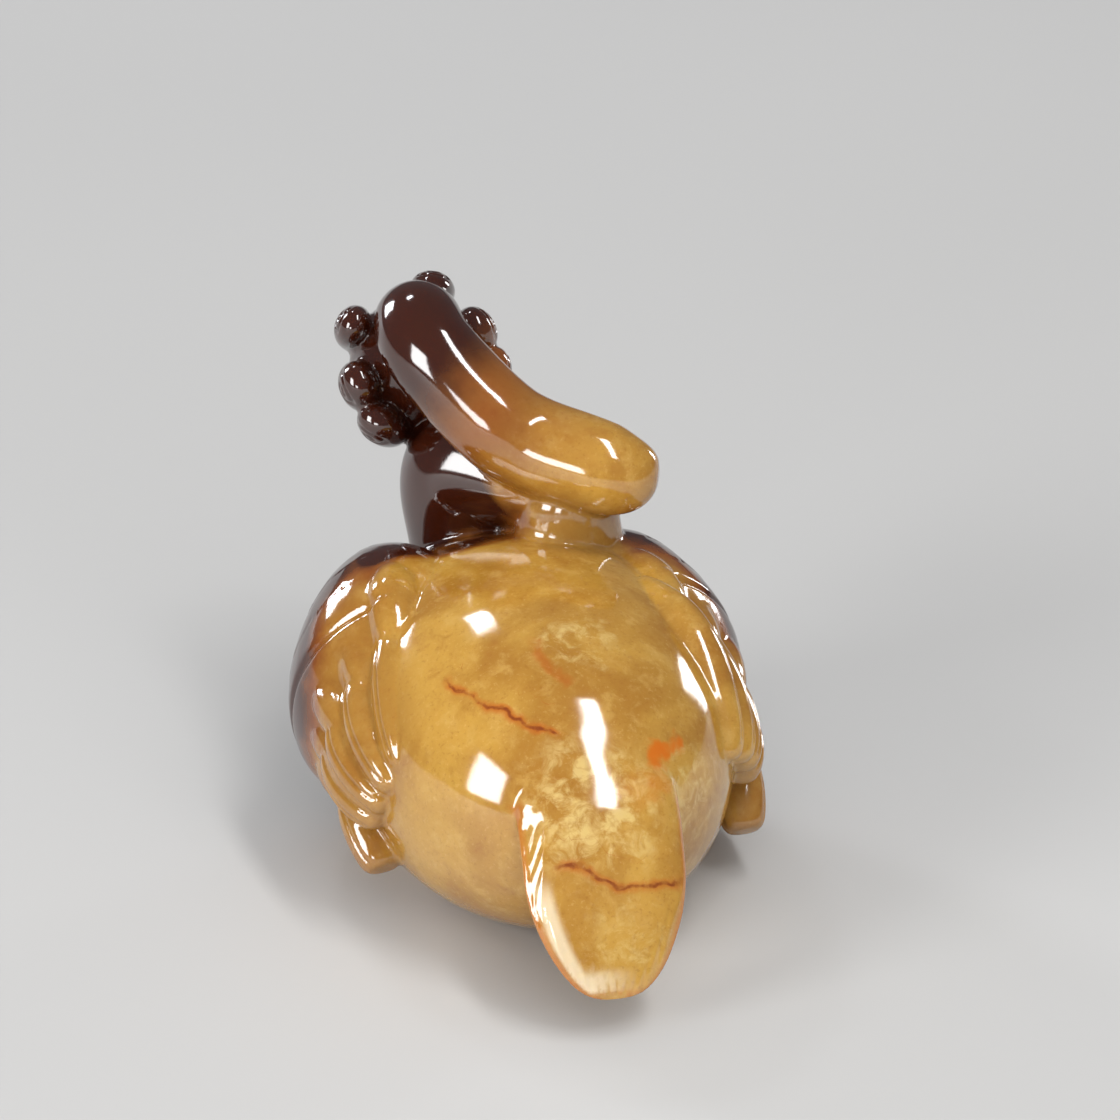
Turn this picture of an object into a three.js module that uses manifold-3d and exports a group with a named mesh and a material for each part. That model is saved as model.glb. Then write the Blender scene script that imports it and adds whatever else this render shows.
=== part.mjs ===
// A jade bird, carved in one piece: an egg-shaped body with a flat belly, a long neck folded back
// over the shoulders, a crested head that looks forward, folded wings in two tiers of feathers and
// a tongue-shaped tail.
// Millimetres, +Z up, +Y the way the bird faces. The origin is the middle of the flat belly.

import * as THREE from "three";
import { ParametricGeometry } from "three/addons/geometries/ParametricGeometry.js";
import { mergeVertices } from "three/addons/utils/BufferGeometryUtils.js";
import Module from "manifold-3d";

// Driving dimensions
const BODY_LENGTH = 44;
const BODY_WIDTH = 32;
const BODY_HEIGHT = 26;
const BELLY_CUT = 1.2;
const NECK_THICKNESS = 8;
const HEAD_LENGTH = 20;
const HEAD_WIDTH = 11.5;
const EYE_DIAMETER = 2.4;
const TAIL_WIDTH = 13.2;
const TAIL_THICKNESS = 2.6;
const FEATHER_WIDTH = 3.6;
const FEATHER_THICKNESS = 4.4;
const SHOULDER_WIDTH = 37.5;

// The pose is given in shares, 44 to the body's length, so that it keeps its proportions.
const SHARE = BODY_LENGTH / 44;
const spot = (x, y, z) => new THREE.Vector3(x, y, z).multiplyScalar(SHARE);

const SIDEWAYS = new THREE.Vector3(1, 0, 0);
const UPWARD = new THREE.Vector3(0, 0, 1);

const wasm = await Module();
wasm.setup();

// A closed form carried along a smooth line. Each station is [centre, half width, half height].
// The width lies along the direction across. Both ends close in a dome: a dome of 2 is an ellipsoid,
// and a higher one is blunter. A square of 2 gives an oval section, and a higher one a boxier section.
function form(stations, { across = SIDEWAYS, dome = 2, square = 2, around = 16, along = 16 } = {}) {
  const line = new THREE.CatmullRomCurve3(stations.map(([centre]) => centre), false, "catmullrom", 0.5);
  const girth = new THREE.CatmullRomCurve3(
    stations.map(([, halfWidth, halfHeight]) => new THREE.Vector3(halfWidth, halfHeight, 0)),
    false,
    "catmullrom",
    0.5,
  );
  const step = 0.001;
  const ahead = new THREE.Vector3();
  const behind = new THREE.Vector3();
  const half = new THREE.Vector3();
  const power = (value) => Math.sign(value) * Math.abs(value) ** (2 / square);

  const surface = (u, v, target) => {
    const t = (1 - Math.cos(Math.PI * v)) / 2;
    const closing = v === 0 || v === 1 ? 0 : (1 - Math.abs(2 * t - 1) ** dome) ** (1 / dome);
    line.getPoint(Math.min(1, t + step), ahead);
    line.getPoint(Math.max(0, t - step), behind);
    const forward = ahead.sub(behind).normalize();
    const side = across.clone().addScaledVector(forward, -across.dot(forward)).normalize();
    const rise = new THREE.Vector3().crossVectors(side, forward);
    girth.getPoint(t, half);
    const turn = -2 * Math.PI * (u % 1);
    line.getPoint(t, target);
    target.addScaledVector(side, half.x * closing * power(Math.cos(turn)));
    target.addScaledVector(rise, half.y * closing * power(Math.sin(turn)));
  };
  return solid(new ParametricGeometry(surface, around, along));
}

// A three.js geometry as a solid, with its shared corners merged and the slivers at its poles dropped.
function solid(geometry) {
  const bare = new THREE.BufferGeometry();
  bare.setAttribute("position", geometry.getAttribute("position"));
  bare.setIndex(geometry.index);
  const merged = mergeVertices(bare, 1e-4);
  const corners = [];
  for (let i = 0; i < merged.index.count; i += 3) {
    const [a, b, c] = [0, 1, 2].map((k) => merged.index.getX(i + k));
    if (a !== b && b !== c && c !== a) corners.push(a, b, c);
  }
  const made = new wasm.Manifold(
    new wasm.Mesh({
      numProp: 3,
      vertProperties: new Float32Array(merged.attributes.position.array),
      triVerts: new Uint32Array(corners),
    }),
  );
  return made;
}

// The same solid on the bird's other side.
const mirrored = (piece) => piece.mirror([1, 0, 0]);

function body() {
  const w = BODY_WIDTH / 2;
  const h = (BODY_HEIGHT + BELLY_CUT) / 2;
  const middle = (BODY_HEIGHT - BELLY_CUT) / 2;
  const at = (x, y, lift) => new THREE.Vector3(x * SHARE, y * SHARE, middle + lift * BODY_HEIGHT);
  const stations = [
    [at(-0.5, -22, 0), 0.88 * w, 0.94 * h],
    [at(-0.3, -11, 0), 0.94 * w, 0.98 * h],
    [at(0, 0, 0), w, h],
    [at(0, 12, 0.02), 0.97 * w, 0.98 * h],
    [at(0, 23, 0.1), 0.8 * w, 0.85 * h],
  ];
  return form(stations, { dome: 2.3, square: 2.15, around: 38, along: 28 });
}

function neck() {
  const r = NECK_THICKNESS / 2;
  const fold = new THREE.Vector3(0.76, 0.65, 0);
  const lower = form(
    [
      [spot(-0.3, 14, 12), 1.6 * r, 1.6 * r],
      [spot(-0.7, 18.4, 20.5), 1.3 * r, 1.3 * r],
      [spot(-0.6, 18.6, 27.4), 1.4 * r, 1.4 * r],
      [spot(3.2, 13.2, 28.2), 1.05 * r, 1.05 * r],
      [spot(6.8, 9, 29.2), 0.95 * r, 0.95 * r],
    ],
    { across: fold, dome: 4, around: 18, along: 14 },
  );
  const upper = form(
    [
      [spot(12, 6, 30.9), 0.92 * r, 0.92 * r],
      [spot(8.2, 7.6, 31.1), 1.05 * r, 1.05 * r],
      [spot(2.7, 10.9, 32.6), r, r],
      [spot(-0.6, 12.6, 34.9), 0.98 * r, 0.98 * r],
      [spot(-4.3, 16.6, 39.1), 0.96 * r, 0.96 * r],
      [spot(-4.4, 21.3, 39.8), r, r],
      [spot(-3.2, 26.4, 35), 1.15 * r, 1.15 * r],
    ],
    { across: fold, dome: 3.2, around: 16, along: 26 },
  );
  const saddle = form(
    [
      [spot(5.5, 10.6, 20), 1.3 * r, 1.1 * r],
      [spot(5.5, 10, 25.5), 1.1 * r, 0.95 * r],
      [spot(5.8, 9.2, 30.5), 0.9 * r, 0.85 * r],
    ],
    { dome: 3, around: 14, along: 8 },
  );
  return [lower, upper, saddle];
}

// The head points forward and down, and rolls a little to the bird's left.
function head() {
  const roll = THREE.MathUtils.degToRad(-21);
  const dip = THREE.MathUtils.degToRad(-38);
  const pose = new THREE.Euler(dip, roll, 0, "YXZ");
  const centre = spot(-3.1, 26.2, 33.4);
  const share = HEAD_LENGTH / 20;
  const place = (x, y, z) => new THREE.Vector3(x, y, z).multiplyScalar(share).applyEuler(pose).add(centre);
  const across = SIDEWAYS.clone().applyEuler(pose);
  const w = HEAD_WIDTH / 2;
  const skull = form(
    [
      [place(0, -8.4, 0.2), 0.98 * w, 5.6 * share],
      [place(0, -2.4, 0.2), 1.03 * w, 6 * share],
      [place(0, 3, -0.4), 0.86 * w, 4.7 * share],
      [place(0, 7.4, -1), 0.6 * w, 3.2 * share],
    ],
    { across, dome: 2.3, around: 22, along: 16 },
  );
  const bill = form(
    [
      [place(0, 3.4, -0.9), 0.66 * w, 3.2 * share],
      [place(0, 7.6, -1.4), 0.56 * w, 2.4 * share],
      [place(0, 10.6, -2), 0.56 * w, 1.7 * share],
      [place(0, 12.8, -2.8), 0.48 * w, 1.3 * share],
    ],
    { across, dome: 3.4, around: 16, along: 12 },
  );
  const pieces = [skull, bill];
  for (const hand of [-1, 1]) {
    const eye = form(
      [
        [place(hand * 3.1, 2.2, 1.5), EYE_DIAMETER / 2, EYE_DIAMETER / 2],
        [place(hand * 5.5, 2.8, 1.9), EYE_DIAMETER / 2, EYE_DIAMETER / 2],
      ],
      { across: UPWARD, around: 12, along: 6 },
    );
    const lock = (lean, from, middle, to, girth) => {
      const spread = new THREE.Vector3(hand * Math.sin(lean), 0, Math.cos(lean)).applyEuler(pose);
      const station = ([x, y, z], size) => [place(hand * x, y, z), size * girth, 0.8 * size * girth];
      const stations = [station(from, 0.55), station(middle, 0.95), station(to, 1.05)];
      return form(stations, { across: spread, dome: 2.6, around: 10, along: 9 });
    };
    pieces.push(eye);
    pieces.push(lock(-0.9, [2.6, 3, 3.4], [3.6, -3, 4.9], [3.6, -8.2, 4.3], 1.9 * share));
    pieces.push(lock(0, [4.1, -0.2, 0.2], [5.2, -4, 0], [5.3, -8.8, -0.4], 2.2 * share));
    pieces.push(lock(0.6, [3.4, 2, -2.8], [4.7, -3, -3.6], [5.4, -7.7, -3.6], 2.2 * share));
  }
  return pieces;
}

function tail() {
  const w = TAIL_WIDTH / 2;
  const h = TAIL_THICKNESS / 2;
  return form(
    [
      [spot(0, -8, 19.2), 0.82 * w, 2.6 * h],
      [spot(0, -14, 18.8), 0.9 * w, 2.5 * h],
      [spot(-0.2, -18.6, 16.4), 0.97 * w, 2.1 * h],
      [spot(-0.6, -22.5, 13.2), 0.98 * w, 1.5 * h],
      [spot(-1, -25.9, 9.2), w, 1.1 * h],
      [spot(-1.2, -29.2, 3.4), 0.86 * w, 0.7 * h],
    ],
    { dome: 2.8, square: 2.25, around: 20, along: 24 },
  );
}

// One tier of feathers: a fan worked out smoothly between a few of its feathers, whose roots,
// middles and tips are given for the bird's right side.
function tier(given, count, dome) {
  const w = FEATHER_WIDTH / 2;
  const h = FEATHER_THICKNESS / 2;
  const outward = new THREE.Vector3(1, 0, 0.15);
  const [roots, middles, tips] = [0, 1, 2].map(
    (i) => new THREE.CatmullRomCurve3(given.map((feather) => spot(...feather[i])), false, "catmullrom", 0.5),
  );
  const pieces = [];
  for (let k = 0; k < count; k++) {
    const [root, middle, tip] = [roots, middles, tips].map((line) => line.getPoint(k / (count - 1)));
    const along = new THREE.Vector3().subVectors(tip, root).normalize();
    const across = new THREE.Vector3().crossVectors(outward, along).normalize();
    const stations = [
      [root, 0.7 * w, 0.7 * h],
      [middle, w, h],
      [tip, w, 0.9 * h],
    ];
    pieces.push(form(stations, { across, dome, square: 2.3, around: 10, along: 10 }));
  }
  return pieces;
}

// Each wing's flight feathers, for a wing on the right side, and how far the wing stands out. The
// right wing stands out and reaches back a little more than the left one.
const LEFT_WING = {
  out: -0.25,
  lift: 1,
  upper: [
    [[10.4, 4, 22], [12, -3, 19.6], [13.2, -9.8, 15]],
    [[14.2, 3, 17.6], [15.3, -3, 15], [14.3, -9.4, 12.4]],
    [[15.8, 3, 13], [16, -2.5, 11.4], [14.8, -8.4, 10]],
  ],
  lower: [
    [[14.6, 1, 11], [15, -3.4, 8.4], [14.3, -7.4, 5.2]],
    [[13.8, 5, 9.6], [14.3, 0.4, 7.6], [13.8, -4.2, 4.8]],
  ],
};
const RIGHT_WING = {
  out: 0.25,
  lift: 0,
  upper: [
    [[9.2, 2, 23.6], [11.3, -6, 21.4], [12.6, -13.4, 14.4]],
    [[13, 1, 19.6], [14.1, -5, 16.4], [14.5, -11, 12.6]],
    [[15, 2, 14.2], [15.5, -4, 12.2], [14.9, -9.4, 10.4]],
  ],
  lower: [
    [[14.8, 1, 11], [15.8, -3.4, 8.2], [15.7, -7.2, 4.3]],
    [[14.6, 5, 9], [15.8, 0.4, 7], [15.9, -4, 4]],
  ],
};

function wing({ out, lift, upper, lower }) {
  const bulge = (SHOULDER_WIDTH - BODY_WIDTH) / 2;
  const shoulder = form(
    [
      [spot(5.5 + out, 19, 15.4 + lift), 7.2 * SHARE, 5.5 * SHARE],
      [spot(8.8 + out, 12.5, 14 + lift), 10.7 * SHARE, 6.4 * SHARE + bulge / 2],
      [spot(10.4 + out, 5.5, 12.4 + lift), 11 * SHARE, 6.1 * SHARE + bulge],
      [spot(10.8 + out, -1.6, 11), 8.6 * SHARE, 5 * SHARE + bulge],
    ],
    { across: new THREE.Vector3(-0.2, 0.15, 0.96).normalize(), dome: 2.5, around: 26, along: 17 },
  );
  const coverts = tier(
    [
      [[8.6, 10, 22.4 + lift], [10.4, 4.6, 22.4 + lift], [11.6, -0.6, 20.9]],
      [[13.4, 8, 15.6], [15.6, 3, 15.6], [15.4, -3.4, 14.8]],
      [[14, 8, 9], [15.4, 3, 9.4], [15, -2.2, 9]],
    ],
    5,
    3.4,
  );
  return [shoulder, ...coverts, ...tier(upper, 4, 3), ...tier(lower, 3, 5)];
}

// Everything is one stone: the forms are joined, and the belly is ground flat.
function bird() {
  const wings = [...wing(RIGHT_WING), ...wing(LEFT_WING).map(mirrored)];
  const forms = [body(), ...neck(), ...head(), tail(), ...wings];
  const joined = forms.reduce((whole, piece) => whole.add(piece));
  const ground = new THREE.BoxGeometry(4 * BODY_LENGTH, 4 * BODY_LENGTH, BODY_LENGTH);
  ground.translate(0, 0, -BODY_LENGTH / 2);
  return joined.subtract(solid(ground));
}

function meshOf(name, made, material) {
  const { vertProperties, triVerts } = made.getMesh();
  const geometry = new THREE.BufferGeometry();
  geometry.setAttribute("position", new THREE.BufferAttribute(new Float32Array(vertProperties), 3));
  geometry.setIndex(new THREE.BufferAttribute(new Uint32Array(triVerts), 1));
  geometry.computeVertexNormals();
  const mesh = new THREE.Mesh(geometry, material);
  mesh.name = name;
  return mesh;
}

const jade = new THREE.MeshStandardMaterial({ color: 0xb98a3a, roughness: 0.15, metalness: 0 });
const carving = new THREE.Group();
carving.add(meshOf("bird", bird(), jade));

export default carving;
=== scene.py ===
# A jade bird, carved in one piece and polished.
# The forms are worked out in millimetres, +Z up and +Y the way the bird faces, and made metres last.

import math

import bpy
import numpy as np
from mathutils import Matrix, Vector


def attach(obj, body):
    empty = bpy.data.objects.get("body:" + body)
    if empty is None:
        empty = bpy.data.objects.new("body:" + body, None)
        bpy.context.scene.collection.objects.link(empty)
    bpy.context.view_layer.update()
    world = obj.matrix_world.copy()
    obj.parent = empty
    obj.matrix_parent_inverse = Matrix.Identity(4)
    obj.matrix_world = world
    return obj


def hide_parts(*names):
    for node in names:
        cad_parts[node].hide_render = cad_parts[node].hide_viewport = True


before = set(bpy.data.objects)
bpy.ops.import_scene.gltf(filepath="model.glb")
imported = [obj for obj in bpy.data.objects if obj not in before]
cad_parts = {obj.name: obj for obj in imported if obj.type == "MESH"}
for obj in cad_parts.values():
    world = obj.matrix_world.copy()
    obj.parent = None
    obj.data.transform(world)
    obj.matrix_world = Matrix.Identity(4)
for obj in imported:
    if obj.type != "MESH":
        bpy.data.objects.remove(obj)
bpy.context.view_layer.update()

MM = 0.001

# Driving sizes, in millimetres
BODY_LENGTH = 44.0
BODY_WIDTH = 32.0
BODY_HEIGHT = 26.0
BELLY_CUT = 1.2
NECK_THICKNESS = 8.0
HEAD_WIDTH = 11.5
EYE_DIAMETER = 2.4
TAIL_WIDTH = 13.2
TAIL_THICKNESS = 2.6
FEATHER_WIDTH = 3.6
FEATHER_THICKNESS = 4.4
SHOULDER_WIDTH = 37.5

GRIT = 0.16  # the size of the grid that fuses the forms
FACE_BUDGET = 190000

SIDEWAYS = np.array([1.0, 0.0, 0.0])
UPWARD = np.array([0.0, 0.0, 1.0])


# Lines and forms

def unit(vectors):
    """Each vector divided by its own length."""
    return vectors / np.linalg.norm(vectors, axis=-1, keepdims=True)


def ease(low, high, value):
    """0 below low, 1 above high, and a smooth S between them: 3 s squared less 2 s cubed."""
    share = np.clip((value - low) / (high - low), 0, 1)
    return share * share * (3 - 2 * share)


def smooth_line(points, t):
    """A uniform Catmull-Rom line through the points, with tension one half, at shares t of its
    length. Each end is carried on by its own last step, turned round."""
    points = np.asarray(points, float)
    padded = np.vstack([2 * points[0] - points[1], points, 2 * points[-1] - points[-2]])
    spans = len(points) - 1
    place = np.clip(np.asarray(t, float) * spans, 0, spans)
    k = np.minimum(place.astype(int), spans - 1)
    w = (place - k)[..., None]
    before, start, end, after = padded[k], padded[k + 1], padded[k + 2], padded[k + 3]
    leave = 0.5 * (end - before)
    arrive = 0.5 * (after - start)
    square = -3 * start + 3 * end - 2 * leave - arrive
    cube = 2 * start - 2 * end + leave + arrive
    return start + leave * w + square * w**2 + cube * w**3


def form(stations, across=SIDEWAYS, dome=2.0, square=2.0):
    """A closed form carried along a smooth line. Each station is a centre, a half width along
    across and a half height. A higher dome makes blunter ends, a higher square a boxier section."""
    return {
        "centres": np.array([station[0] for station in stations], float),
        "halves": np.array([station[1:] for station in stations], float),
        "across": unit(np.array(across, float)),
        "dome": dome,
        "square": square,
        "hand": 1,
    }


def mirrored(piece):
    """The same form on the bird's other side."""
    return {**piece, "hand": -piece["hand"]}


def section(piece, t):
    """Centre, sideways and upward directions, half sizes and end closing at shares t of a form.
    The closing is the dome-th root of 1 less the dome-th power of the distance from the middle."""
    step = 0.001
    centre = smooth_line(piece["centres"], t)
    ahead = smooth_line(piece["centres"], np.minimum(1, t + step))
    behind = smooth_line(piece["centres"], np.maximum(0, t - step))
    forward = unit(ahead - behind)
    across = piece["across"]
    side = unit(across - forward * (forward @ across)[..., None])
    rise = np.cross(side, forward)
    half = smooth_line(piece["halves"], t)
    closing = np.maximum(0, 1 - np.abs(2 * t - 1) ** piece["dome"]) ** (1 / piece["dome"])
    return centre, forward, side, rise, half, closing


def skin_of(piece, around, along):
    """Points and faces of a form: rings of a superellipse, side times a signed power of the cosine
    plus rise times a signed power of the sine, spaced along the line by a cosine, with two poles."""
    v = np.arange(1, along) / along
    t = (1 - np.cos(np.pi * v)) / 2
    turn = -2 * np.pi * np.arange(around) / around
    centre, _, side, rise, half, closing = section(piece, t)
    power = 2 / piece["square"]
    wide = np.sign(np.cos(turn)) * np.abs(np.cos(turn)) ** power
    high = np.sign(np.sin(turn)) * np.abs(np.sin(turn)) ** power
    reach = half * closing[:, None]
    rings = (
        centre[:, None, :]
        + side[:, None, :] * (reach[:, :1] * wide)[..., None]
        + rise[:, None, :] * (reach[:, 1:] * high)[..., None]
    )
    poles = smooth_line(piece["centres"], np.array([0.0, 1.0]))
    points = np.vstack([rings.reshape(-1, 3), poles])
    row, column = np.meshgrid(np.arange(along - 2), np.arange(around), indexing="ij")
    beside = (column + 1) % around
    first = row * around
    quads = np.stack(
        [first + column, first + beside, first + around + beside, first + around + column], -1
    ).reshape(-1, 4)
    ring = np.arange(around)
    following = (ring + 1) % around
    last = (along - 2) * around
    tail_pole = np.full(around, len(points) - 2)
    head_pole = np.full(around, len(points) - 1)
    caps = np.vstack([
        np.stack([tail_pole, following, ring], -1),
        np.stack([head_pole, last + ring, last + following], -1),
    ])
    if piece["hand"] < 0:
        points = points * [-1, 1, 1]
        quads, caps = quads[:, ::-1], caps[:, ::-1]
    return points, quads.tolist() + caps.tolist()


def place_on(piece, points, reach=1.6, samples=240):
    """Where points lie on a form: share along it, sideways and upward place in half sizes, and
    how far out they are, 1 on its skin. Points that are far from it get an out of 9."""
    points = points * [piece["hand"], 1, 1]
    t = np.linspace(0, 1, samples)
    centre, forward, side, rise, half, closing = section(piece, t)
    share = np.zeros(len(points))
    wide = np.zeros(len(points))
    high = np.zeros(len(points))
    out = np.full(len(points), 9.0)
    margin = half.max() * reach
    near = np.all((points > centre.min(0) - margin) & (points < centre.max(0) + margin), axis=1)
    picked = np.flatnonzero(near)
    for block in np.array_split(picked, max(1, len(picked) // 20000)):
        some = points[block]
        gap = ((some[:, None, :] - centre[None]) ** 2).sum(-1)
        k = gap.argmin(1)
        offset = some - centre[k]
        span = np.linalg.norm(np.gradient(centre, axis=0), axis=1)[k] * (samples - 1)
        share[block] = np.clip(t[k] + (offset * forward[k]).sum(-1) / span, 0, 1)
        wide[block] = (offset * side[k]).sum(-1) / half[k, 0]
        high[block] = (offset * rise[k]).sum(-1) / half[k, 1]
        radius = (np.abs(wide[block]) ** piece["square"] + np.abs(high[block]) ** piece["square"])
        out[block] = radius ** (1 / piece["square"]) / np.maximum(closing[k], 0.05)
    return share, wide, high, out


# The bird's forms, the same as the solid's

def body():
    w = BODY_WIDTH / 2
    h = (BODY_HEIGHT + BELLY_CUT) / 2
    middle = (BODY_HEIGHT - BELLY_CUT) / 2
    return form(
        [
            [(-0.5, -22, middle), 0.88 * w, 0.94 * h],
            [(-0.3, -11, middle), 0.94 * w, 0.98 * h],
            [(0, 0, middle), w, h],
            [(0, 12, middle + 0.02 * BODY_HEIGHT), 0.97 * w, 0.98 * h],
            [(0, 23, middle + 0.1 * BODY_HEIGHT), 0.8 * w, 0.85 * h],
        ],
        dome=2.3,
        square=2.15,
    )


def neck():
    r = NECK_THICKNESS / 2
    fold = (0.76, 0.65, 0)
    lower = form(
        [
            [(-0.3, 14, 12), 1.6 * r, 1.6 * r],
            [(-0.7, 18.4, 20.5), 1.3 * r, 1.3 * r],
            [(-0.6, 18.6, 27.4), 1.4 * r, 1.4 * r],
            [(3.2, 13.2, 28.2), 1.05 * r, 1.05 * r],
            [(6.8, 9, 29.2), 0.95 * r, 0.95 * r],
        ],
        across=fold,
        dome=4,
    )
    upper = form(
        [
            [(12, 6, 30.9), 0.92 * r, 0.92 * r],
            [(8.2, 7.6, 31.1), 1.05 * r, 1.05 * r],
            [(2.7, 10.9, 32.6), r, r],
            [(-0.6, 12.6, 34.9), 0.98 * r, 0.98 * r],
            [(-4.3, 16.6, 39.1), 0.96 * r, 0.96 * r],
            [(-4.4, 21.3, 39.8), r, r],
            [(-3.2, 26.4, 35), 1.15 * r, 1.15 * r],
        ],
        across=fold,
        dome=3.2,
    )
    saddle = form(
        [
            [(5.5, 10.6, 20), 1.3 * r, 1.1 * r],
            [(5.5, 10, 25.5), 1.1 * r, 0.95 * r],
            [(5.8, 9.2, 30.5), 0.9 * r, 0.85 * r],
        ],
        dome=3,
    )
    return [lower, upper, saddle]


HEAD_CENTRE = np.array([-3.1, 26.2, 33.4])
HEAD_ROLL = math.radians(-21)
HEAD_DIP = math.radians(-38)


def head_turn():
    """The head's rotation: a dip about the sideways axis, then a roll about the way it faces."""
    c, s = math.cos(HEAD_DIP), math.sin(HEAD_DIP)
    dip = np.array([[1, 0, 0], [0, c, -s], [0, s, c]])
    c, s = math.cos(HEAD_ROLL), math.sin(HEAD_ROLL)
    roll = np.array([[c, 0, s], [0, 1, 0], [-s, 0, c]])
    return roll @ dip


def on_head(*place):
    """A place in the head's own frame, put where the head is."""
    return head_turn() @ np.array(place, float) + HEAD_CENTRE


def head():
    across = head_turn() @ SIDEWAYS
    w = HEAD_WIDTH / 2
    skull = form(
        [
            [on_head(0, -8.4, 0.2), 0.98 * w, 5.6],
            [on_head(0, -2.4, 0.2), 1.03 * w, 6],
            [on_head(0, 3, -0.4), 0.86 * w, 4.7],
            [on_head(0, 7.4, -1), 0.6 * w, 3.2],
        ],
        across=across,
        dome=2.3,
    )
    bill = form(
        [
            [on_head(0, 3.4, -0.9), 0.66 * w, 3.2],
            [on_head(0, 7.6, -1.4), 0.56 * w, 2.4],
            [on_head(0, 10.6, -2), 0.56 * w, 1.7],
            [on_head(0, 12.8, -2.8), 0.48 * w, 1.3],
        ],
        across=across,
        dome=3.4,
    )
    return [skull, bill]


def eye(hand):
    r = EYE_DIAMETER / 2
    return form(
        [[on_head(hand * 3.1, 2.2, 1.5), r, r], [on_head(hand * 5.5, 2.8, 1.9), r, r]],
        across=UPWARD,
    )


def crest(hand):
    """Three swept-back locks on one side of the head, thin at the front and full at the nape. Each
    is a little flatter than it is wide, and its lean lays it along the skull."""
    rows = [
        (-0.9, (2.6, 3, 3.4), (3.6, -3, 4.9), (3.6, -8.2, 4.3), 1.9),
        (0, (4.1, -0.2, 0.2), (5.2, -4, 0), (5.3, -8.8, -0.4), 2.2),
        (0.6, (3.4, 2, -2.8), (4.7, -3, -3.6), (5.4, -7.7, -3.6), 2.2),
    ]
    locks = []
    for lean, front, middle, back, girth in rows:
        spread = head_turn() @ (hand * math.sin(lean), 0, math.cos(lean))
        places = [on_head(hand * x, y, z) for x, y, z in (front, middle, back)]
        sizes = (0.55 * girth, 0.95 * girth, 1.05 * girth)
        stations = [[place, size, 0.8 * size] for place, size in zip(places, sizes)]
        locks.append(form(stations, across=spread, dome=2.6))
    return locks


def tail():
    w = TAIL_WIDTH / 2
    h = TAIL_THICKNESS / 2
    return form(
        [
            [(0, -8, 19.2), 0.82 * w, 2.6 * h],
            [(0, -14, 18.8), 0.9 * w, 2.5 * h],
            [(-0.2, -18.6, 16.4), 0.97 * w, 2.1 * h],
            [(-0.6, -22.5, 13.2), 0.98 * w, 1.5 * h],
            [(-1, -25.9, 9.2), w, 1.1 * h],
            [(-1.2, -29.2, 3.4), 0.86 * w, 0.7 * h],
        ],
        dome=2.8,
        square=2.25,
    )


def tier(given, count, dome):
    """One tier of feathers: a fan worked out smoothly between a few of its feathers, each given as
    a root, a middle and a tip."""
    w = FEATHER_WIDTH / 2
    h = FEATHER_THICKNESS / 2
    given = np.array(given, float)
    shares = np.linspace(0, 1, count)
    roots, middles, tips = (smooth_line(given[:, k], shares) for k in range(3))
    feathers = []
    for root, middle, tip in zip(roots, middles, tips):
        across = np.cross((1, 0, 0.15), unit(tip - root))
        stations = [[root, 0.7 * w, 0.7 * h], [middle, w, h], [tip, w, 0.9 * h]]
        feathers.append(form([[c, a, b] for c, a, b in stations], across=across, dome=dome, square=2.3))
    return feathers


def lift_of(hand):
    """How much higher the shoulder on that side is."""
    return 0 if hand > 0 else 1


def shoulder(hand):
    """One shoulder. The right one stands out a little more, and the left one is a little higher."""
    bulge = (SHOULDER_WIDTH - BODY_WIDTH) / 2
    out = 0.25 * hand
    lift = lift_of(hand)
    made = form(
        [
            [(5.5 + out, 19, 15.4 + lift), 7.2, 5.5],
            [(8.8 + out, 12.5, 14 + lift), 10.7, 6.4 + bulge / 2],
            [(10.4 + out, 5.5, 12.4 + lift), 11, 6.1 + bulge],
            [(10.8 + out, -1.6, 11), 8.6, 5 + bulge],
        ],
        across=(-0.2, 0.15, 0.96),
        dome=2.5,
    )
    return made if hand > 0 else mirrored(made)


def coverts(hand):
    lift = lift_of(hand)
    rows = tier(
        [
            [(8.6, 10, 22.4 + lift), (10.4, 4.6, 22.4 + lift), (11.6, -0.6, 20.9)],
            [(13.4, 8, 15.6), (15.6, 3, 15.6), (15.4, -3.4, 14.8)],
            [(14, 8, 9), (15.4, 3, 9.4), (15, -2.2, 9)],
        ],
        5,
        3.4,
    )
    return rows if hand > 0 else [mirrored(feather) for feather in rows]


def flight_feathers(hand):
    """The upper and the lower tier of one wing. The right wing reaches further back."""
    left = [
        [(10.4, 4, 22), (12, -3, 19.6), (13.2, -9.8, 15)],
        [(14.2, 3, 17.6), (15.3, -3, 15), (14.3, -9.4, 12.4)],
        [(15.8, 3, 13), (16, -2.5, 11.4), (14.8, -8.4, 10)],
    ]
    left_low = [
        [(14.6, 1, 11), (15, -3.4, 8.4), (14.3, -7.4, 5.2)],
        [(13.8, 5, 9.6), (14.3, 0.4, 7.6), (13.8, -4.2, 4.8)],
    ]
    right = [
        [(9.2, 2, 23.6), (11.3, -6, 21.4), (12.6, -13.4, 14.4)],
        [(13, 1, 19.6), (14.1, -5, 16.4), (14.5, -11, 12.6)],
        [(15, 2, 14.2), (15.5, -4, 12.2), (14.9, -9.4, 10.4)],
    ]
    right_low = [
        [(14.8, 1, 11), (15.8, -3.4, 8.2), (15.7, -7.2, 4.3)],
        [(14.6, 5, 9), (15.8, 0.4, 7), (15.9, -4, 4)],
    ]
    if hand > 0:
        return tier(right, 4, 3) + tier(right_low, 3, 5)
    return [mirrored(feather) for feather in tier(left, 4, 3) + tier(left_low, 3, 5)]


# Making the piece

def mesh_from(name, points, faces):
    """A mesh object at the origin from points and faces."""
    mesh = bpy.data.meshes.new(name)
    mesh.from_pydata(points.tolist(), [], faces)
    mesh.update()
    made = bpy.data.objects.new(name, mesh)
    bpy.context.scene.collection.objects.link(made)
    return made


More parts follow.
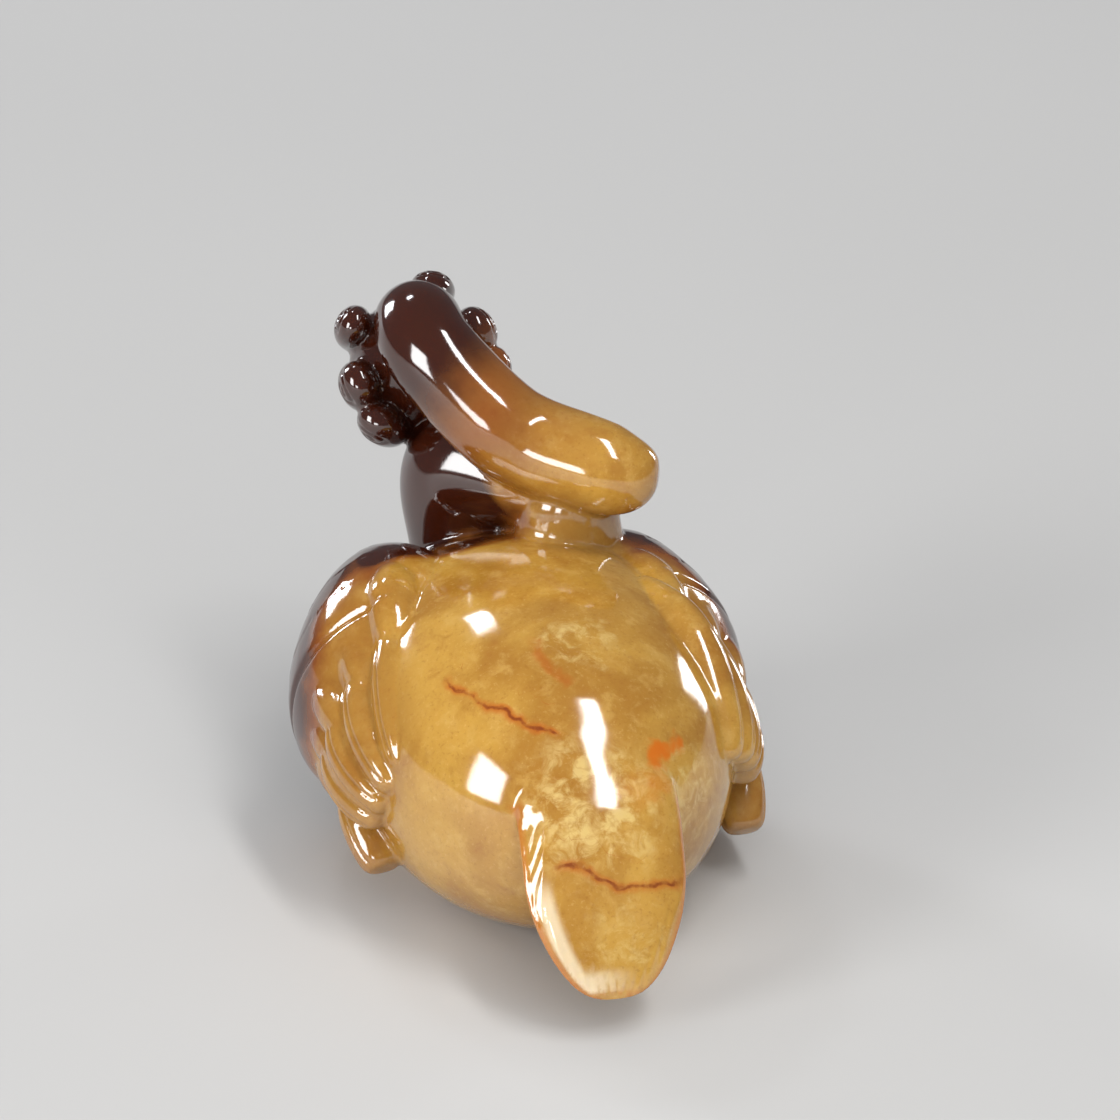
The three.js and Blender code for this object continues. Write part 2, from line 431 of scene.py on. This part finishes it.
def settle(made):
    """The object's modifiers are worked into its mesh and taken off."""
    graph = bpy.context.evaluated_depsgraph_get()
    finished = bpy.data.meshes.new_from_object(made.evaluated_get(graph))
    made.modifiers.clear()
    old = made.data
    made.data = finished
    bpy.data.meshes.remove(old)


def fused(name, skins):
    """One closed mesh from overlapping closed skins, on a grid of the grit's size."""
    points, faces, start = [], [], 0
    for some_points, some_faces in skins:
        points.append(some_points)
        faces.extend([[corner + start for corner in face] for face in some_faces])
        start += len(some_points)
    made = mesh_from(name, np.vstack(points), faces)
    remesh = made.modifiers.new("fuse", "REMESH")
    remesh.mode = "VOXEL"
    remesh.voxel_size = GRIT
    remesh.adaptivity = 0
    settle(made)
    return made


def points_of(mesh):
    flat = np.empty(len(mesh.vertices) * 3, np.float32)
    mesh.vertices.foreach_get("co", flat)
    return flat.reshape(-1, 3).astype(float)


def edges_of(mesh):
    flat = np.empty(len(mesh.edges) * 2, np.int32)
    mesh.edges.foreach_get("vertices", flat)
    return flat.reshape(-1, 2)


def normals_of(mesh):
    flat = np.empty(len(mesh.vertices) * 3, np.float32)
    mesh.vertices.foreach_get("normal", flat)
    return flat.reshape(-1, 3).astype(float)


def set_points(mesh, points):
    mesh.vertices.foreach_set("co", points.astype(np.float32).ravel())
    mesh.update()


def around_mean(values, edges):
    """At each point, the mean of its neighbours' values along the edges."""
    a, b = edges[:, 0], edges[:, 1]
    count = len(values)
    degree = np.bincount(a, minlength=count) + np.bincount(b, minlength=count)
    columns = values.reshape(count, -1).T
    means = [(np.bincount(a, c[b], count) + np.bincount(b, c[a], count)) / degree for c in columns]
    return np.stack(means, -1).reshape(values.shape)


def rubbed(points, edges, passes, pull=0.5, push=-0.52):
    """Points smoothed without shrinking: each goes part of the way to its neighbours' mean, and
    then a little further back, pass after pass."""
    points = points.copy()
    for _ in range(passes):
        for amount in (pull, push):
            points += amount * (around_mean(points, edges) - points)
    return points


def softened(points, edges, normals, passes):
    """Sharp hollows worn into small fillets: where the neighbours' mean stands out of the surface,
    the point goes half of the way to it, pass after pass."""
    points = points.copy()
    for _ in range(passes):
        step = around_mean(points, edges) - points
        hollow = ease(0.002, 0.012, (step * normals).sum(-1))
        share = np.maximum(hollow, 0.8 * around_mean(hollow, edges))
        points += 0.5 * share[:, None] * step
    return points


def flowed(points, edges, centre, reach, passes):
    """One place worn smooth: inside an egg round the centre, points go to their neighbours' mean
    pass after pass, less and less towards the egg's skin."""
    gap = np.linalg.norm((points - centre) / reach, axis=1)
    picked = np.flatnonzero(gap < 1.15)
    local = np.full(len(points), -1)
    local[picked] = np.arange(len(picked))
    inner = local[edges]
    inner = inner[(inner >= 0).all(1)]
    some = points[picked]
    share = (0.6 * (1 - ease(0.5, 1, gap[picked])))[:, None]
    for _ in range(passes):
        some = some + share * (around_mean(some, inner) - some)
    points = points.copy()
    points[picked] = some
    return points


def cut(distance, width):
    """The profile of a cut line: 1 in its middle and a bell curve to the sides."""
    return np.exp(-((distance / width) ** 2))


def wobble(points, scale, seed):
    """A smooth wavy value from -1 to 1: the mean of five sines in random directions."""
    chance = np.random.default_rng(seed)
    total = np.zeros(len(points))
    for _ in range(5):
        direction = unit(chance.normal(size=3))
        total += np.sin(points @ direction * 2 * np.pi / scale + chance.uniform(0, 2 * np.pi))
    return total / 5


def closing_of(piece, share):
    """How far a form is open at shares along it: 1 in its middle and 0 at its ends."""
    return np.maximum(0, 1 - np.abs(2 * share - 1) ** piece["dome"]) ** (1 / piece["dome"])


def skin_near(out):
    """1 on a form's own skin, fading to 0 a little inside and outside it."""
    return ease(0.82, 0.92, out) * (1 - ease(1.08, 1.22, out))


def carve_bird(points):
    """How deep the tool goes into the stone at each point, in millimetres."""
    depth = 0.05 * wobble(points, 9.0, 3) + 0.02 * wobble(points, 3.1, 8)
    depth += carve_tail(points)
    depth += carve_feathers(points)
    depth += carve_shoulders(points)
    depth += carve_head(points)
    return depth


def tail_edge(points):
    """For each point on the tail: its share along the tail, its place across it and its height over
    the tail's middle in millimetres, the distance to the tail's outline, and how far it belongs to
    the tail's upper face."""
    piece = tail()
    share, wide, high, out = place_on(piece, points)
    half = TAIL_WIDTH / 2
    thick = np.interp(share, np.linspace(0, 1, 80), section(piece, np.linspace(0, 1, 80))[4][:, 1])
    edge = np.minimum((closing_of(piece, share) - np.abs(wide)) * half, (1 - share) * 27)
    face = skin_near(out) * ease(-0.1, 0.15, -high) * ease(0.44, 0.5, share)
    return share, wide * half, -high * thick, edge, face


def carve_tail(points):
    """A flat bevel down the tail's left side and round its tip, and fine barbs in its margin that run
    nearly along the tail and slant out to its edge."""
    share, across, height, edge, face = tail_edge(points)
    along = share * 27
    left = ease(-0.6, 0.6, -across)
    tip = ease(0.74, 0.86, share)
    slope = math.radians(40)
    above = np.maximum(edge, 0) * math.tan(slope)
    bevel = np.clip((height - above) * math.cos(slope), 0, 0.7) * left
    bevel *= ease(0.47, 0.55, share) * (1 - ease(2, 2.6, edge))
    slant = np.where(across < 0, 0.4 * (1 - ease(0.66, 0.9, share)) + 0.05, 0.34)
    phase = across + slant * (along - 18) + 0.22 * wobble(points, 5.0, 5)
    barb = cut(np.mod(phase, 0.8) - 0.4, 0.17)
    margin = ease(0.05, 0.3, edge) * (1 - ease(1.2, 2.4, edge + 0.5 * wobble(points, 2.3, 6)))
    return face * (bevel + 0.05 * barb * margin * np.maximum(left * ease(0.5, 0.58, share), tip))


def carve_feathers(points):
    """Two lines along each flight feather."""
    depth = np.zeros(len(points))
    for one in flight_feathers(1) + flight_feathers(-1):
        share, wide, high, out = place_on(one, points)
        skin = skin_near(out) * ease(0, 0.3, np.abs(high))
        run = ease(0.28, 0.42, share) * (1 - ease(0.92, 0.98, share))
        for line in (-0.34, 0.34):
            gap = (wide - line) * FEATHER_WIDTH / 2
            depth = np.maximum(depth, 0.18 * skin * run * cut(gap, 0.15))
    return depth


def carve_shoulders(points):
    """Three rows of scales over the front of each shoulder, with a plain band behind them. A scale
    is a disc laid over the next row's: deepest at its rim, where the next one comes out."""
    depth = np.zeros(len(points))
    for one in (shoulder(1), shoulder(-1)):
        share, wide, high, out = place_on(one, points)
        turn = np.degrees(np.arctan2(wide, np.abs(high)))
        face = skin_near(out) * ease(-62, -48, turn) * (1 - ease(62, 76, turn))
        field = face * ease(0.2, 0.26, share) * (1 - ease(0.6, 0.64, share))
        row = share / 0.13
        rim = np.full(len(points), 9.0)
        for step in (2, 1, 0):
            k = np.floor(row) - step
            column = turn / 24 + 0.5 * np.mod(k, 2)
            gap = np.hypot(row - k, 1.7 * (column - np.round(column)))
            rim = np.where(gap < 1.35, gap, rim)
        depth += field * (0.13 * cut(rim - 1.35, 0.16) - 0.06 * ease(0.6, 1.3, rim) * (rim < 1.35))
        depth += 0.3 * face * cut((share - 0.655) * 22, 0.3)
    return depth


def carve_head(points):
    """A ring round each eye, a mouth line along the bill, nostrils, and on each lock a line that
    ends in a curl."""
    local = (points - HEAD_CENTRE) @ head_turn()
    x, y, z = local.T
    depth = np.zeros(len(points))
    near = np.linalg.norm(local, axis=1) < 20
    for hand in (-1, 1):
        distance = np.linalg.norm(local - [hand * 4.9, 2.7, 1.8], axis=1)
        depth += 0.3 * cut(distance - 1.8, 0.3) * (hand * x > 2)
        nostril = np.linalg.norm((local - [hand * 1.6, 7.2, 0.4]) * [1, 0.5, 1], axis=1)
        depth += 0.3 * cut(nostril, 0.35)
    mouth = z + 1.6 + 0.14 * (y - 5) + 0.02 * (y - 5) ** 2
    depth += 0.35 * cut(mouth, 0.25) * ease(4.2, 5.2, y)
    for hand in (-1, 1):
        for lock in crest(hand):
            share, wide, high, out = place_on(lock, points)
            skin = skin_near(out) * (hand * x > 1.5)
            run = ease(0.2, 0.35, share) * (1 - ease(0.62, 0.7, share))
            depth += 0.16 * skin * cut(wide * 1.6, 0.2) * run
            forth = (share - 0.8) * 12
            up = wide * 2
            reach = np.hypot(forth, up)
            swirl = np.mod(reach - np.arctan2(up, forth) * 0.85 / (2 * np.pi), 0.85) - 0.42
            depth += 0.16 * skin * cut(swirl, 0.15) * (1 - ease(1.3, 1.6, reach))
    return depth * near


def carve_feet(points):
    """Two webbed feet cut into the flat belly: each has three toes, a heel, and a web whose edge
    hangs in shallow arcs between the toes."""
    height = np.zeros(len(points))
    for hand in (-1, 1):
        heel = np.array([hand * 3.2, -2.5])
        flat = points[:, :2] - heel
        reach = np.linalg.norm(flat, axis=1)
        turn = np.degrees(np.arctan2(flat[:, 0] * hand, flat[:, 1])) - 6
        toe = np.clip(np.round(turn / 24), -1, 1) * 24
        aside = reach * np.sin(np.radians(turn - toe))
        height = np.maximum(height, cut(aside, 0.3) * ease(0.2, 0.8, reach) * (1 - ease(8.6, 9, reach)))
        web = reach - 8.2 + 1.5 * np.cos(np.radians((np.abs(turn) - 12) * 7.5)) * (np.abs(turn) < 24)
        height = np.maximum(height, cut(web, 0.28) * (np.abs(turn) < 25))
    return 0.4 * height


def make_bird():
    plain = [(body(), 220, 180), (tail(), 120, 140)]
    plain += [(piece, 96, 140) for piece in neck()]
    plain += [(piece, 96, 96) for piece in head()]
    for hand in (-1, 1):
        plain += [(eye(hand), 48, 36)]
        plain += [(lock, 48, 48) for lock in crest(hand)]
        plain += [(shoulder(hand), 160, 120)]
        plain += [(feather, 48, 56) for feather in flight_feathers(hand) + coverts(hand)]
    made = fused("jade_bird", [skin_of(*row) for row in plain])
    mesh = made.data
    edges = edges_of(mesh)
    points = rubbed(points_of(mesh), edges, 14)
    set_points(mesh, points)
    points = softened(points, edges, normals_of(mesh), 14)
    points = flowed(points, edges, (0, -19.8, 18.8), (4.6, 3.4, 3.4), 300)
    points = flowed(points, edges, (5.5, 9.5, 26), (5.5, 3.6, 2.2), 200)
    for hand in (-1, 1):
        points = flowed(points, edges, (hand * 13, 5, 19), (5, 6, 6), 60)
    set_points(mesh, points)
    points = points - normals_of(mesh) * carve_bird(points)[:, None]
    sole = 1 - ease(0.05, 0.15, points[:, 2])
    points[:, 2] = np.maximum(points[:, 2], carve_feet(points) * sole)
    set_points(mesh, points * MM)
    faces = sum(len(polygon.vertices) - 2 for polygon in mesh.polygons)
    thin = made.modifiers.new("thin", "DECIMATE")
    thin.ratio = min(1, FACE_BUDGET / faces)
    settle(made)
    made.data.shade_smooth()
    mark_veins(made.data)
    return made


# Lines on the stone, as places on its surface in millimetres: [places, core, halo]
VEINS = [
    [
        [(-9.6, -8.6, 22.4), (-9.2, -9.9, 22.1), (-7.8, -12.8, 21.8), (-5.8, -15.4, 21.4)]
        + [(-4.2, -16.8, 21.1), (-2.5, -18, 20.6)],
        1.0,
        1.0,
    ],
    [[(-2.4, -8.5, 25), (-2.4, -11.5, 24.2), (-1.9, -12.7, 23.8), (-0.8, -14.4, 23.2)], 0.12, 0.7],
    [
        [(-5.2, -24.6, 13.2), (-3.4, -25, 13.1), (-2.5, -25.3, 12.8), (-1.2, -25.9, 12)]
        + [(0.7, -26.3, 11.2), (3, -26.1, 11.2), (5.2, -25.4, 10.9)],
        1.0,
        0.8,
    ],
]


def mark_veins(mesh):
    """Smooth values kept on the mesh for the material: the distance from a vein's middle, how
    strong its core and its halo are there, how near a point is to the tail's edge, and where a painted
    highlight lies along the tail's bevel."""
    points = points_of(mesh) / MM
    normals = normals_of(mesh)
    off = np.full(len(points), 9.0)
    core = np.zeros(len(points))
    halo = np.zeros(len(points))
    for stops, dark, warm in VEINS:
        line = smooth_line(stops, np.linspace(0, 1, 60))
        picked = np.flatnonzero(np.all((points > line.min(0) - 3) & (points < line.max(0) + 3), axis=1))
        some = points[picked]
        gaps = ((some[:, None, :] - line[None]) ** 2).sum(-1)
        up = normals[picked][gaps.argmin(0)]
        ahead = np.gradient(line, axis=0)
        side = unit(np.cross(ahead, up))
        k = gaps.argmin(1)
        offset = some - line[k]
        run = (k + (offset * ahead[k]).sum(-1) / (ahead[k] ** 2).sum(-1)) / (len(line) - 1)
        window = ease(-0.02, 0.1, run) * (1 - ease(0.92, 1.02, run))
        window *= 1 - ease(1.6, 2.6, np.sqrt(gaps.min(1)))
        off[picked] = np.where(window > 0, (offset * side[k]).sum(-1), off[picked])
        core[picked] = np.maximum(core[picked], dark * window)
        halo[picked] = np.maximum(halo[picked], warm * window)
    share, across, height, edge, face = tail_edge(points)
    rim = (1 - ease(0.1, 0.7, edge)) * np.minimum(1, 2 * face)
    # Painted highlight: a pale band along the lower left part of the tail's bevel
    rim_highlight = ease(0.4, 0.7, edge) * (1 - ease(1.4, 2.1, edge)) * face * ease(0.68, 0.78, share)
    rim_highlight *= 1 - ease(-2.5, 2.5, across)
    marks = {"vein_off": off, "vein_core": core, "vein_halo": halo, "tail_rim": rim, "tail_painted_highlight": rim_highlight}
    for name, values in marks.items():
        mesh.attributes.new(name, "FLOAT", "POINT").data.foreach_set("value", values.astype(np.float32))


# Materials

def linear(red, green, blue):
    """A screen colour from 0 to 255 as the shader's linear light."""
    def channel(value):
        value /= 255
        return value / 12.92 if value <= 0.04045 else ((value + 0.055) / 1.055) ** 2.4
    return (channel(red), channel(green), channel(blue), 1.0)


class Recipe:
    """A material's nodes. Each call adds one and gives back its output."""

    def __init__(self, name):
        self.material = bpy.data.materials.new(name)
        self.material.use_nodes = True
        self.tree = self.material.node_tree
        self.surface = self.tree.nodes["Principled BSDF"]

    def node(self, kind, inputs=(), settings=(), output=0):
        made = self.tree.nodes.new(kind)
        for key, value in dict(settings).items():
            setattr(made, key, value)
        for key, value in dict(inputs).items():
            if isinstance(value, bpy.types.NodeSocket):
                self.tree.links.new(value, made.inputs[key])
            else:
                made.inputs[key].default_value = value
        return made.outputs[output]

    def math(self, operation, *values):
        return self.node("ShaderNodeMath", dict(enumerate(values)), {"operation": operation})

    def vector(self, operation, *values, output=0):
        settings = {"operation": operation}
        return self.node("ShaderNodeVectorMath", dict(enumerate(values)), settings, output)

    def noise(self, where, scale, detail=3.0, rough=0.5, twist=0.0):
        inputs = {"Vector": where, "Scale": scale, "Detail": detail}
        inputs.update({"Roughness": rough, "Distortion": twist})
        return self.node("ShaderNodeTexNoise", inputs)

    def ramp(self, value, low, high, start=0.0, end=1.0):
        inputs = {"Value": value, "From Min": low, "From Max": high, "To Min": start, "To Max": end}
        return self.node("ShaderNodeMapRange", inputs, {"interpolation_type": "SMOOTHSTEP"})

    def mix(self, share, one, other, blend="MIX"):
        inputs = {0: share, 6: one, 7: other}
        return self.node("ShaderNodeMix", inputs, {"data_type": "RGBA", "blend_type": blend}, 2)

    def total(self, *values):
        """The sum of some values."""
        result = values[0]
        for value in values[1:]:
            result = self.math("ADD", result, value)
        return result

    def product(self, *values):
        """The values multiplied together."""
        result = values[0]
        for value in values[1:]:
            result = self.math("MULTIPLY", result, value)
        return result

    def attribute(self, name):
        """A value that mark_veins keeps on the mesh."""
        return self.node("ShaderNodeAttribute", settings={"attribute_name": name}, output=2)

    def slope(self, value, start, rate):
        """A value's distance from a start, times a rate."""
        return self.math("MULTIPLY", self.math("SUBTRACT", value, start), rate)

    def blend(self, share, one, other):
        """One value at share 0, the other at share 1."""
        inputs = {0: share, 2: one, 3: other}
        return self.node("ShaderNodeMix", inputs, {"data_type": "FLOAT"}, 0)

    def warped(self, where, scale, amount):
        """A place moved about by a smooth noise."""
        inputs = {"Vector": where, "Scale": scale, "Detail": 2.0}
        wave = self.node("ShaderNodeTexNoise", inputs, output=1)
        shifted = self.vector("SUBTRACT", wave, (0.5, 0.5, 0.5))
        moved = self.vector("SCALE", shifted)
        moved.node.inputs["Scale"].default_value = amount
        return self.vector("ADD", where, moved)

    def set(self, **values):
        for key, value in values.items():
            self.surface.inputs[key.replace("_", " ")].default_value = value


def jade():
    """Honey jade: soft clouds and a fine speckle, a russet skin over the neck's crest, the head and
    the shoulders, pale blotches on the tail, and red-brown veins with an orange fringe. Painted shade
    darkens the foot of the neck's bend, the wings' sides and the lower neck under the bend, and a painted
    highlight lies along the tail's bevel."""
    stone = Recipe("honey_jade")
    place = stone.node("ShaderNodeTexCoord", output=3)
    mm = stone.vector("SCALE", place)
    mm.node.inputs["Scale"].default_value = 1 / MM
    apart = stone.node("ShaderNodeSeparateXYZ", {0: mm}).node
    x, y, z = apart.outputs

    clouds = stone.noise(mm, 0.12, 4, 0.55, 0.5)
    mottle = stone.noise(mm, 0.5, 5, 0.62, 0.3)
    speckle = stone.noise(mm, 2.6, 4, 0.7)
    colour = stone.mix(stone.ramp(clouds, 0.34, 0.66), linear(164, 115, 42), linear(190, 145, 62))
    colour = stone.mix(stone.ramp(mottle, 0.5, 0.72, 0, 0.5), colour, linear(204, 164, 88))
    colour = stone.mix(stone.ramp(mottle, 0.46, 0.28, 0, 0.35), colour, linear(152, 98, 34))
    colour = stone.mix(stone.ramp(speckle, 0.54, 0.7, 0, 0.32), colour, linear(138, 86, 30))
    colour = stone.mix(stone.ramp(speckle, 0.44, 0.3, 0, 0.28), colour, linear(214, 176, 104))

    def near(spot, radius, rough):
        """1 in the middle of a spot and 0 beyond its radius, with an edge broken by the mottle."""
        gap = stone.vector("DISTANCE", mm, spot, output=1)
        gap = stone.math("ADD", gap, stone.math("MULTIPLY", stone.math("SUBTRACT", mottle, 0.5), rough))
        return stone.ramp(gap, radius, 0.35 * radius)

    # Pale blotches with fine seams between them
    cells = stone.node(
        "ShaderNodeTexVoronoi",
        {"Vector": stone.warped(mm, 0.9, 1.8), "Scale": 0.55},
        {"feature": "DISTANCE_TO_EDGE"},
    )
    flakes = stone.noise(mm, 0.62, 6, 0.62, 0.6)
    blotch = stone.product(stone.ramp(flakes, 0.42, 0.64), stone.ramp(cells, 0.0, 0.09, 0.72, 1))
    for spot, radius, amount in (
        ((-1.2, -22.2, 16.6), 7.5, 0.72),
        ((7.5, -18.6, 14.4), 5.0, 0.6),
        ((1.0, -9.9, 24.8), 4.0, 0.6),
        ((0.0, -27.6, 8.0), 3.6, 0.5),
    ):
        share = stone.math("MULTIPLY", near(spot, radius, 7.0), amount)
        colour = stone.mix(stone.math("MULTIPLY", share, blotch), colour, linear(222, 194, 124))

    # Orange stains beside the tail's root
    for spot, radius, amount in (
        ((4.9, -19.1, 18.8), 1.5, 0.9),
        ((6.7, -17.8, 18.8), 1.2, 0.85),
        ((5.8, -18.5, 18.8), 0.9, 0.7),
        ((4.6, -21.0, 17.2), 1.8, 0.3),
        ((2.6, -21.6, 17.4), 2.4, 0.15),
    ):
        gap = stone.vector("DISTANCE", stone.warped(mm, 0.8, 2.2), spot, output=1)
        share = stone.math("MULTIPLY", stone.ramp(gap, radius, 0.3 * radius), amount)
        colour = stone.mix(share, colour, linear(206, 104, 8))

    # Painted shade: the foot of the neck's bend, under the knee, is painted darker and duller
    neck_bend_shade = stone.math("MULTIPLY", near((5.6, 8.0, 27.0), 6.0, 2.0), 0.7)
    colour = stone.mix(neck_bend_shade, colour, linear(132, 92, 44))

    # Veins
    sway = stone.slope(stone.noise(mm, 0.45, 2, 0.5), 0.5, 1.8)
    jitter = stone.slope(stone.noise(mm, 1.9, 2, 0.5), 0.5, 0.35)
    away = stone.math("ABSOLUTE", stone.total(stone.attribute("vein_off"), sway, jitter))
    patchy = stone.ramp(mottle, 0.34, 0.6, 0.25, 0.9)
    warm = stone.product(stone.ramp(away, 0.75, 0.05), stone.attribute("vein_halo"), patchy)
    colour = stone.mix(warm, colour, linear(178, 92, 20))
    broken = stone.ramp(mottle, 0.4, 0.6, 0.25, 0.85)
    dark = stone.product(stone.ramp(away, 0.24, 0.05), stone.attribute("vein_core"), broken)
    colour = stone.mix(dark, colour, linear(118, 50, 16))

    # The tail's edge: orange at its outline, and a pale painted highlight along the lower left part of its
    # bevel
    colour = stone.mix(stone.product(stone.attribute("tail_rim"), 0.55), colour, linear(186, 96, 22))
    colour = stone.mix(stone.product(stone.attribute("tail_painted_highlight"), 0.6), colour, linear(246, 232, 200))

    # Painted shade: the wings' sides are painted darker and browner than the rump
    sideways = stone.math("ABSOLUTE", x)
    side = stone.product(stone.ramp(sideways, 10.5, 14.0), stone.ramp(y, -13.0, -7.0), 0.5)
    colour = stone.mix(side, colour, linear(132, 80, 26))

    # The russet skin: over the shoulders by how far forward and out a place is, and along the neck
    drift = stone.slope(stone.noise(mm, 0.2, 4, 0.6), 0.5, 7.0)
    out = stone.math("MAXIMUM", stone.math("SUBTRACT", sideways, 10.0), -6.0)
    chest = stone.product(stone.ramp(z, 24.0, 25.5), stone.ramp(y, 7.0, 9.5), stone.slope(x, 2.4, -0.8))
    flank = stone.math("MAXIMUM", stone.slope(sideways, 15.5, 1.6), 0.0)
    right = stone.ramp(x, 7.0, 11.0, 0.0, 2.2)
    front = stone.total(y, stone.product(out, 0.35), flank, stone.slope(z, 14.0, 0.15), drift, chest, right)
    rise = stone.total(stone.slope(z, 31.0, 0.45), stone.product(x, -0.5), stone.slope(y, 4.0, 0.25))
    along = stone.total(rise, stone.product(drift, 0.4))
    raised = stone.ramp(z, 26.5, 29.0)
    brown = stone.blend(raised, stone.ramp(front, 7.5, 10.5), stone.ramp(along, -3.0, 5.0))
    deep = stone.blend(raised, stone.ramp(front, 9.5, 13.0), stone.ramp(along, 4.5, 8.6))
    # Partly the russet skin and partly painted shade: the lower neck in the fold under the upper neck's
    # bend is darkened to the deepest russet
    fold = stone.total(stone.slope(y, 13.0, 1.0), stone.slope(z, 30.0, -0.8), stone.product(x, -0.35))
    throat = stone.product(stone.ramp(fold, -1.2, 0.4), stone.ramp(z, 25.5, 27.0))
    deep = stone.math("MAXIMUM", deep, throat)
    colour = stone.mix(stone.product(brown, 0.8), colour, linear(124, 58, 16))
    colour = stone.mix(stone.product(deep, 0.96), colour, linear(50, 15, 8))

    stone.tree.links.new(colour, stone.surface.inputs["Base Color"])
    stone.set(Roughness=0.09, IOR=1.62, Specular_IOR_Level=0.9)
    stone.set(Subsurface_Weight=0.14, Subsurface_Scale=0.0014)
    stone.surface.inputs["Subsurface Radius"].default_value = (1.0, 0.5, 0.16)
    grain = stone.node("ShaderNodeBump", {"Strength": 0.1, "Distance": 0.00003, "Height": speckle})
    stone.tree.links.new(grain, stone.surface.inputs["Normal"])
    return stone.material


def floor_paint():
    paint = Recipe("pale_floor")
    place = paint.node("ShaderNodeTexCoord", output=3)
    tone = paint.noise(place, 3.0, 2)
    shade = paint.mix(paint.ramp(tone, 0.3, 0.7), (0.50, 0.495, 0.485, 1), (0.54, 0.535, 0.525, 1))
    paint.tree.links.new(shade, paint.surface.inputs["Base Color"])
    paint.set(Roughness=0.7)
    return paint.material


# The piece

bird = make_bird()
bird.data.materials.clear()
bird.data.materials.append(jade())
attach(bird, "root")
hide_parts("bird")

# The stage: sizes in metres, angles in degrees

FLOOR_REACH = 1.5

corners = np.array([[-1, -1, 0], [1, -1, 0], [1, 1, 0], [-1, 1, 0]]) * FLOOR_REACH
floor = mesh_from("floor", corners, [[0, 1, 2, 3]])
floor.data.materials.append(floor_paint())


def direction(azimuth, elevation):
    """From the object towards a camera or lamp at that azimuth and elevation, in degrees."""
    a, e = math.radians(azimuth), math.radians(elevation)
    return np.array([math.sin(a) * math.cos(e), -math.cos(a) * math.cos(e), math.sin(e)])


def aim(thing, place, target):
    thing.location = place
    thing.rotation_euler = Vector(target - place).to_track_quat("-Z", "Y").to_euler()


def lamp(name, azimuth, elevation, distance, size, power, tint=(1, 1, 1), spin=0, mirrored=True):
    light = bpy.data.lights.new(name, "AREA")
    light.shape = "RECTANGLE"
    light.size, light.size_y = size
    light.energy = power
    light.color = tint
    made = bpy.data.objects.new(name, light)
    made.visible_camera = False
    made.visible_glossy = mirrored
    bpy.context.scene.collection.objects.link(made)
    target = np.array([0, 0, 0.02])
    aim(made, target + direction(azimuth, elevation) * distance, target)
    made.rotation_euler.rotate_axis("Z", math.radians(spin))
    return made


lamp("left", -70, 20, 0.9, (0.36, 0.46), 5)
lamp("low left", -38, 9, 0.9, (0.2, 0.2), 1.1)
lamp("overhead", 40, 67, 0.9, (0.11, 0.6), 3.2, spin=-40)
lamp("front", -171, 43, 0.9, (0.11, 0.07), 0.5, tint=(0.9, 0.94, 1))
lamp("front left", -152, 15, 0.9, (0.16, 0.26), 2.4, tint=(0.93, 0.95, 1))
lamp("right", 122, 8, 0.9, (0.14, 0.26), 1.5)
lamp("fill", 0, 38, 0.9, (0.9, 0.7), 4.2, mirrored=False)
lamp("ceiling", 0, 90, 0.9, (1.4, 1.4), 3.2, mirrored=False)

world = bpy.data.worlds.new("studio")
bpy.context.scene.world = world
world.use_nodes = True
world.node_tree.nodes["Background"].inputs["Color"].default_value = (0.9, 0.93, 1, 1)
world.node_tree.nodes["Background"].inputs["Strength"].default_value = 0.12

bpy.context.scene.view_settings.view_transform = "Standard"

lens = bpy.data.cameras.new("camera")
lens.sensor_width = 36
lens.lens = 36 * 400 * 12.5 / 1120
lens.clip_start, lens.clip_end = 0.01, 10
camera = bpy.data.objects.new("camera", lens)
bpy.context.scene.collection.objects.link(camera)
bpy.context.scene.camera = camera
look = np.array([0.00193, -0.00052, 0.0274])
aim(camera, look + direction(-15, 25) * 0.4, look)
